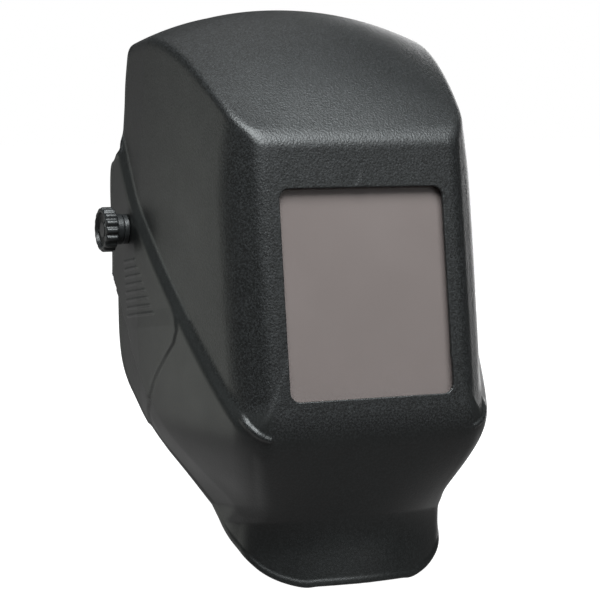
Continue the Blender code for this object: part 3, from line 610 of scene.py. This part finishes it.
def build_shell():
    points, from_window, from_rim = shell_grid(380, 150)
    normal = outward(points)
    box, skirt = shell_parts(points)
    roll = rounding(from_window, 0.7) + rounding(from_rim, 1.25)
    relief = shell_relief(points) * np.clip(from_rim / 2.5, 0, 1)
    lip = 0.5 * np.clip((4.2 - from_rim) / 1.2, 0, 1)
    outside = points + normal * (relief + lip - roll)[..., None]
    inside = points - normal * (WALL - roll)[..., None]
    keep = np.r_[0:7, 9:points.shape[0] - 7:3, points.shape[0] - 7:points.shape[0]]
    inside = inside[keep]

    on_skirt = np.clip((box - skirt) / 1.5, 0, 1)
    low = np.clip((-122 - points[..., 2]) / 8, 0, 1)
    grain = 1 - 0.72 * np.maximum(on_skirt, 0.8 * low)
    side_view = np.clip((np.abs(normal[..., 0]) - 0.8) / 0.15, 0, 1)
    grain = grain * (1 - 0.35 * side_view)
    lumps = nub_height(np.abs(points[..., 0]), points[..., 1], points[..., 2])
    grain = np.maximum(grain, np.clip(lumps, 0, 1))
    # edge holds a painted highlight along the crease where the proud skirt meets the box, kept to its upper
    # part above z = -58, and a lighter strip within 1 mm of the rim.
    edge = np.exp(-((box - skirt) / 0.5) ** 2) * (np.abs(points[..., 0]) > 62) * (points[..., 2] > -122)
    edge = np.maximum(0.8 * edge * (points[..., 2] > -58), np.clip(1 - from_rim / 1.0, 0, 1) * 0.5)

    skin = np.concatenate([outside, inside[::-1]])
    grain = np.concatenate([grain, np.full_like(grain[keep], 0.35)])
    edge = np.concatenate([edge, np.zeros_like(edge[keep])])
    mirror = skin[:, -2:0:-1] * np.array([-1.0, 1.0, 1.0])
    skin = np.concatenate([skin, mirror], axis=1)
    grain = np.concatenate([grain, grain[:, -2:0:-1]], axis=1)
    edge = np.concatenate([edge, edge[:, -2:0:-1]], axis=1)
    rows, columns = skin.shape[:2]
    flat = skin.reshape(-1, 3)
    c, s = math.cos(LEAN), math.sin(LEAN)
    placed = np.stack([flat[:, 0], flat[:, 1] * c + flat[:, 2] * s, flat[:, 2] * c - flat[:, 1] * s], -1)
    faces = grid_faces(rows, columns, wrap_rows=True)
    shell = new_object("moulded_shell", placed * MM, faces, shell_plastic())
    point_attribute(shell, "grain", grain)
    point_attribute(shell, "edge", edge)
    facing_out(shell)
    return place(shell, "shell", "shell_black", "helmet_shell")


# ------------------------------------------------------------------ knobs

def fluted_ring(x, radius, depth, lobes, per_lobe):
    """One ring of a fluted knob: wide lands between round-bottomed scallops."""
    a = np.arange(lobes * per_lobe) * 2 * math.pi / (lobes * per_lobe)
    wave = 0.5 - 0.5 * np.cos(lobes * a)
    r = radius - depth * wave**1.6
    return np.stack([np.full_like(a, x), r * np.cos(a), r * np.sin(a)], -1)


def knob(profile, lobes, per_lobe=14):
    """A closed knob along +X from (x, radius, flute depth) stations, in millimetres."""
    rings = np.array([fluted_ring(x, r, depth, lobes, per_lobe) for x, r, depth in profile])
    rows, columns = rings.shape[:2]
    verts = np.vstack([rings.reshape(-1, 3), [[profile[0][0], 0, 0], [profile[-1][0], 0, 0]]])
    faces = grid_faces(rows, columns)
    first, last = rows * columns, rows * columns + 1
    for j in range(columns):
        k = (j + 1) % columns
        faces.append((first, k, j))
        faces.append((last, (rows - 1) * columns + j, (rows - 1) * columns + k))
    return verts, faces


def rounded_profile(corners, arc=5):
    """Stations through (x, radius, depth, rounding) corners, each corner rounded."""
    out = []
    for i, (x, r, d, soft) in enumerate(corners):
        if soft <= 0 or i in (0, len(corners) - 1):
            out.append((x, r, d))
            continue
        here = np.array([x, r, d])
        before = np.array(corners[i - 1][:3]) - here
        after = np.array(corners[i + 1][:3]) - here
        a = before / np.linalg.norm(before[:2]) * soft
        b = after / np.linalg.norm(after[:2]) * soft
        for t in np.linspace(0, 1, arc):
            out.append(tuple(here + a * (1 - t) ** 2 + b * t**2))
    return out


def tension_knob(side, sign, mat):
    r = 13.4
    corners = [
        (104.75, 4.3, 0, 0), (104.75, 9.2, 0, 0.5), (108.6, 9.2, 0, 0.6), (109.2, 11.6, 0.2, 0.5),
        (109.9, r, 1.25, 0.7), (116.4, r, 1.25, 0.9), (117.35, 11.9, 0.5, 0.5), (117.35, 10.6, 0, 0.4),
        (115.0, 10.0, 0, 0.5), (114.7, 5.2, 0, 0.4), (116.3, 4.6, 0, 0.5), (116.5, 0.6, 0, 0),
    ]
    verts, faces = knob(rounded_profile(corners), 16)
    pieces = [(verts, faces)]
    for turn in (112, 232, 352):
        pieces.append(face_rib(114.6, 115.9, 4.2, 10.6, 0.75, math.radians(turn)))
    verts, faces = joined(pieces)
    verts = verts * np.array([sign, 1, 1])
    obj = new_object("fluted_tension_knob_" + side, verts * MM, faces, mat)
    facing_out(obj)
    obj.data.set_sharp_from_angle(angle=math.radians(50))
    return place(obj, "knob_" + side, "knob_black", "tension_knob_" + side)


def face_rib(x0, x1, r0, r1, half, turn):
    """A low rounded bar lying on a knob's dished face."""
    section = [(x0, -half), (x1 - 0.3, -half), (x1, -half * 0.5),
               (x1, half * 0.5), (x1 - 0.3, half), (x0, half)]
    c, s = math.cos(turn), math.sin(turn)
    verts = []
    for r in (r0, r1):
        for x, w in section:
            verts.append((x, r * c - w * s, r * s + w * c))
    faces = grid_faces(2, 6)
    return np.array(verts), faces + [tuple(range(6)), tuple(range(11, 5, -1))]


def joined(parts):
    verts, faces, base = [], [], 0
    for v, f in parts:
        verts.append(np.asarray(v, float))
        faces += [tuple(i + base for i in face) for face in f]
        base += len(v)
    return np.vstack(verts), faces


def ratchet_knob(mat):
    """The headband's size knob: the same kind of knob, larger, on the ratchet's tilted axis."""
    outer = 87.6
    corners = [
        (outer + 0.35, 4.6, 0, 0), (outer + 0.35, 15.5, 0, 0.6), (outer + 2.6, 16.0, 0.2, 0.6),
        (outer + 3.4, 19.0, 1.6, 0.9), (outer + 11.6, 19.0, 1.6, 1.2), (outer + 12.95, 16.8, 0.6, 0.6),
        (outer + 12.95, 14.2, 0, 0.5), (outer + 10.2, 13.4, 0, 0.7), (outer + 10.2, 6.8, 0, 0.5),
        (outer + 12.0, 6.0, 0, 0.6), (outer + 12.2, 0.6, 0, 0),
    ]
    verts, faces = knob(rounded_profile(corners), 18)
    parts = [(verts, faces)]
    for n in range(6):
        parts.append(face_rib(outer + 10.0, outer + 11.6, 6.2, 14.1, 0.9, math.radians(60 * n + 30)))
    verts, faces = joined(parts)
    turned = np.stack([-verts[:, 1], verts[:, 0], verts[:, 2]], -1)
    placed = band_to_row(turned)
    obj = new_object("fluted_ratchet_knob", placed, faces, mat)
    facing_out(obj)
    obj.data.set_sharp_from_angle(angle=math.radians(50))
    return place(obj, "ratchet", "knob_black", "ratchet_knob")


def band_to_row(points_mm):
    """From the headband's frame, in millimetres, to the row frame, in metres."""
    turn = np.array(Matrix.Rotation(-BAND_TILT, 3, "X"))
    return np.asarray(points_mm) * MM @ turn.T + np.array(BAND_CENTRE)


# ------------------------------------------------------------------ soft pads

def band_arc(offset, share):
    """On the band's front ellipse; share runs 0 to 1 from the wearer's left to right."""
    a = math.pi * share
    x = (BAND_INNER + offset) * np.cos(a)
    y = -40 - (76 + offset) * np.sin(a)
    return np.stack([x, y], -1)


def pad_form(line_in, line_out, low, high, around=20):
    """A closed pillow between an inner and an outer line; low and high are its edge heights."""
    rings = []
    count = len(line_in)
    for i in range(count):
        middle = (line_in[i] + line_out[i]) / 2
        reach = (line_in[i] - line_out[i]) / 2
        ends = min(1.0, 5.5 * min(i, count - 1 - i) / (count - 1))
        swell = math.sqrt(max(0.0, 1 - (1 - ends) ** 2))
        ring = []
        for k in range(around):
            a = 2 * math.pi * k / around
            c, s = math.cos(a), math.sin(a)
            u = math.copysign(abs(c) ** 0.55, c) * (0.25 + 0.75 * swell)
            w = math.copysign(abs(s) ** 0.7, s) * (0.45 + 0.55 * swell)
            height = (high[i] + low[i]) / 2 + w * (high[i] - low[i]) / 2
            xy = middle + reach * u * 0.92
            ring.append((xy[0], xy[1], height))
        rings.append(ring)
    rings = np.array(rings)
    rows, columns = rings.shape[:2]
    last = (rows - 1) * columns
    faces = grid_faces(rows, columns)
    faces += [tuple(range(columns)), tuple(last + k for k in reversed(range(columns)))]
    return rings.reshape(-1, 3), faces


def only(obj):
    for other in bpy.context.selected_objects:
        other.select_set(False)
    obj.select_set(True)
    bpy.context.view_layer.objects.active = obj


def apply_modifiers(obj):
    only(obj)
    for mod in list(obj.modifiers):
        bpy.ops.object.modifier_apply(modifier=mod.name)


def swell(obj, voxel, pressure, cap):
    """Remesh a pad's form and let cloth under pressure fill it out, by at most cap."""
    mod = obj.modifiers.new("remesh", "REMESH")
    mod.mode = "VOXEL"
    mod.voxel_size = voxel
    apply_modifiers(obj)
    before = np.array([v.co for v in obj.data.vertices])
    cloth = obj.modifiers.new("cloth", "CLOTH")
    cloth.settings.quality = 6
    cloth.settings.mass = 0.15
    cloth.settings.tension_stiffness = 18
    cloth.settings.compression_stiffness = 18
    cloth.settings.bending_stiffness = 0.6
    cloth.settings.use_pressure = True
    cloth.settings.uniform_pressure_force = pressure
    cloth.settings.effector_weights.gravity = 0.0
    cloth.collision_settings.use_collision = False
    scene = bpy.context.scene
    for number in range(1, 21):
        scene.frame_set(number)
    evaluated = obj.evaluated_get(bpy.context.evaluated_depsgraph_get())
    after = np.array([v.co for v in evaluated.data.vertices])
    obj.modifiers.remove(cloth)
    scene.frame_set(1)
    move = after - before
    far = np.linalg.norm(move, axis=1, keepdims=True)
    after = before + move * np.minimum(1.0, cap / np.maximum(far, 1e-9))
    obj.data.vertices.foreach_set("co", after.astype(np.float32).ravel())
    obj.data.update()
    smooth = obj.modifiers.new("even", "SMOOTH")
    smooth.factor, smooth.iterations = 0.5, 3
    sub = obj.modifiers.new("fine", "SUBSURF")
    sub.levels = sub.render_levels = 1
    apply_modifiers(obj)
    obj.data.shade_smooth()
    return obj


def stitches(name, path_mm, length, gap, mat):
    """A row of short thread stitches along a path in the row frame, in millimetres."""
    path = np.asarray(path_mm, float)
    run = np.r_[0, np.cumsum(np.linalg.norm(np.diff(path, axis=0), axis=1))]
    verts, faces, at, base = [], [], gap, 0
    while at + length < run[-1]:
        a, b = (np.array([np.interp(s, run, path[:, k]) for k in range(3)]) for s in (at, at + length))
        along = (b - a) / np.linalg.norm(b - a)
        side = np.cross(along, [0.0, 0.0, 1.0])
        side = side / max(np.linalg.norm(side), 1e-6)
        up = np.cross(side, along)
        for t, r in ((0, 0.12), (0.2, 0.32), (0.5, 0.38), (0.8, 0.32), (1, 0.12)):
            for k in range(6):
                turn = k * math.pi / 3
                verts.append(a + (b - a) * t + r * (math.cos(turn) * side + math.sin(turn) * up))
        faces += [tuple(base + i for i in f) for f in grid_faces(5, 6)]
        faces += [tuple(base + k for k in range(6)), tuple(base + 29 - k for k in range(6))]
        base += 30
        at += length + gap
    obj = new_object(name, np.array(verts) * MM, faces, mat)
    facing_out(obj)
    return obj


def brow_pad(fabric, seam):
    share = np.linspace(0.17, 0.83, 70)
    inner, outer = band_arc(-6.6, share), band_arc(-0.5, share)
    half = 9 + 5 * np.sin(math.pi * share) ** 2 + 0.6
    verts, faces = pad_form(inner, outer, -half, half)
    pad = new_object("brow_sweatband", band_to_row(verts), faces, fabric)
    facing_out(pad)
    swell(pad, 0.0024, 2.5, 0.0011)
    place(pad, "headgear", "pad_fabric", "brow_pad")
    for tag, sign in (("upper", 1), ("lower", -1)):
        line = band_arc(-2.0, share[3:-3])
        height = sign * (half[3:-3] + 0.1)
        path = np.column_stack([line, height])
        row = stitches("sweatband_seam_" + tag, band_to_row(path) / MM, 2.4, 1.2, seam)
        place(row, "headgear", "pad_fabric")
    return pad


def nape_pad(foam):
    a = np.radians(np.linspace(-24, 24, 40))
    arcs = [np.stack([r * np.sin(a), r * np.cos(a)], -1) for r in (69.6, 76.2)]
    half = 15.6 + 0 * a
    verts, faces = pad_form(arcs[0], arcs[1], -half, half)
    pad = new_object("nape_cushion", band_to_row(verts), faces, foam)
    facing_out(pad)
    swell(pad, 0.0024, 2.5, 0.0010)
    place(pad, "headgear", "pad_foam", "nape_pad")
    return pad


# ------------------------------------------------------------------ the CAD nodes that stay

def soften(node, width_mm):
    """Round a CAD node's edges with modifiers; its mesh stays as it is."""
    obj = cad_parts[node]
    weld = obj.modifiers.new("weld", "WELD")
    weld.merge_threshold = 0.00001
    bevel = obj.modifiers.new("bevel", "BEVEL")
    bevel.width = width_mm * MM
    bevel.segments = 3
    bevel.limit_method = "ANGLE"
    bevel.angle_limit = math.radians(38)
    bevel.use_clamp_overlap = True
    obj.modifiers.new("normals", "WEIGHTED_NORMAL")


def dress(nodes, mat, width_mm=0.0):
    for node in nodes:
        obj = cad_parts[node]
        obj.data.materials.clear()
        obj.data.materials.append(mat)
        if width_mm:
            soften(node, width_mm)


def both(name):
    return [name + "_left", name + "_right"]


def dress_frame():
    gear = moulded("headgear_plastic", (0.040, 0.042, 0.045), 0.42, 1.1, 0.06)
    knob_mat = moulded("knob_plastic", (0.012, 0.013, 0.0135), 0.40, 0.5, 0.02)
    rivets = moulded("rivet_plastic", (0.030, 0.030, 0.031), 0.36, 0.6, 0.02)
    straps = both("crown_strap") + both("rear_strap")
    dress(["front_headband"] + straps, gear, 0.35)
    dress(both("side_plate") + both("tilt_stop") + ["ratchet_backplate", "ratchet_cover"], gear, 0.5)
    dress(["lens_housing"], moulded("bay_plastic", (0.030, 0.032, 0.033), 0.5, 0.9, 0.05), 0.4)
    dress(["crown_peg"] + both("crown_rivet"), rivets, 0.3)
    dress(["side_rivet_" + s + e for s in ("left", "right") for e in ("_front", "_rear")], rivets, 0.3)
    dress(["ratchet_pinion"] + both("knob_spacer") + both("tilt_stop_pin"), knob_mat, 0.25)
    dress(["front_cover_plate"], clear_plastic("cover_plate", (0.20, 0.172, 0.165)), 0.2)
    dress(["inner_cover_plate"], clear_plastic("inner_plate", (0.20, 0.175, 0.168)), 0.2)
    dress(["filter_plate"], filter_shade(), 0.2)
    dress(["lens_gasket"], rubber(), 0.3)
    dress(["lens_retaining_spring"], steel("spring_wire", (0.56, 0.56, 0.58), 0.28, (0.2, 0.2, 1)))
    dress(both("pivot_bolt"), steel("bolt_steel", (0.52, 0.52, 0.53), 0.32, (0.1, 1, 1)), 0.25)
    dress(both("friction_washer"), fibre(), 0.1)
    return knob_mat


# ------------------------------------------------------------------ studio

def area_light(name, at, toward, size, watts, colour=(1, 1, 1)):
    data = bpy.data.lights.new(name, "AREA")
    data.shape = "RECTANGLE"
    data.size, data.size_y = size
    data.energy = watts
    data.color = colour
    obj = bpy.data.objects.new(name, data)
    bpy.context.scene.collection.objects.link(obj)
    obj.location = at
    obj.rotation_euler = (Vector(toward) - Vector(at)).to_track_quat("-Z", "Y").to_euler()
    return obj


def map_range(tree, source, limits):
    node = tree.nodes.new("ShaderNodeMapRange")
    for key, value in limits.items():
        node.inputs[key].default_value = value
    tree.links.new(source, node.inputs["Value"])
    return node.outputs["Result"]


def studio(floor_z):
    half = 9.0
    verts = [(-half, -half, floor_z), (half, -half, floor_z), (half, half, floor_z), (-half, half, floor_z)]
    floor = new_object("studio_floor", verts, [(0, 1, 2, 3)], studio_floor(), smooth=False)
    floor.visible_glossy = False
    floor.visible_diffuse = False

    world = bpy.data.worlds.new("studio_world")
    bpy.context.scene.world = world
    world.use_nodes = True
    tree = world.node_tree
    seen = tree.nodes.new("ShaderNodeLightPath").outputs["Is Camera Ray"]
    height = tree.nodes.new("ShaderNodeSeparateXYZ")
    tree.links.new(tree.nodes.new("ShaderNodeTexCoord").outputs["Generated"], height.inputs["Vector"])
    below = map_range(tree, height.outputs["Z"],
                      {"From Min": -0.7, "From Max": 0.1, "To Min": 0.40, "To Max": 0.045})
    behind = map_range(tree, height.outputs["Y"],
                       {"From Min": -0.5, "From Max": 0.6, "To Min": 0.75, "To Max": 1.7})
    ambient = tree.nodes.new("ShaderNodeMath")
    ambient.operation = "MULTIPLY"
    tree.links.new(below, ambient.inputs[0])
    tree.links.new(behind, ambient.inputs[1])
    level = tree.nodes.new("ShaderNodeMapRange")
    level.inputs["To Max"].default_value = 1.0
    tree.links.new(seen, level.inputs["Value"])
    tree.links.new(ambient.outputs["Value"], level.inputs["To Min"])
    background = tree.nodes["Background"]
    background.inputs["Color"].default_value = (1, 1, 1, 1)
    tree.links.new(level.outputs["Result"], background.inputs["Strength"])

    middle = (0.0, -0.03, -0.04)
    area_light("top_softbox", (-0.12, -0.76, 1.12), middle, (1.15, 0.75), 49, (0.93, 0.985, 1.0))
    area_light("rear_top_softbox", (0.10, 0.60, 1.20), middle, (1.0, 0.8), 1.5)
    area_light("rear_left_softbox", (-1.27, 0.78, -0.10), middle, (0.85, 1.1), 3.6, (0.965, 1.0, 0.93))
    area_light("rear_fill", (-0.60, 1.35, 0.0), middle, (0.8, 1.1), 0.35)
    area_light("rear_right_softbox", (1.05, 1.05, 0.15), middle, (0.8, 1.2), 12)
    area_light("front_right_fill", (0.75, -1.6, 0.30), middle, (0.7, 0.9), 1.0)


def camera():
    data = bpy.data.cameras.new("camera")
    data.sensor_width = 36.0
    data.lens = CAMERA_LENS
    data.clip_start, data.clip_end = 0.05, 60.0
    obj = bpy.data.objects.new("camera", data)
    bpy.context.scene.collection.objects.link(obj)
    obj.location = CAMERA_AT
    obj.rotation_euler = Vector(CAMERA_FORWARD).to_track_quat("-Z", "Y").to_euler()
    bpy.context.scene.camera = obj


# ------------------------------------------------------------------ the scene

bpy.context.scene.view_settings.view_transform = "Standard"
knob_plastic = dress_frame()
build_shell()
for side_name, side_sign in (("left", 1), ("right", -1)):
    tension_knob(side_name, side_sign, knob_plastic)
ratchet_knob(knob_plastic)
brow_pad(terry_fabric(), thread())
nape_pad(open_foam())
camera()
studio(CAD_BOX[0].z - 0.0005)
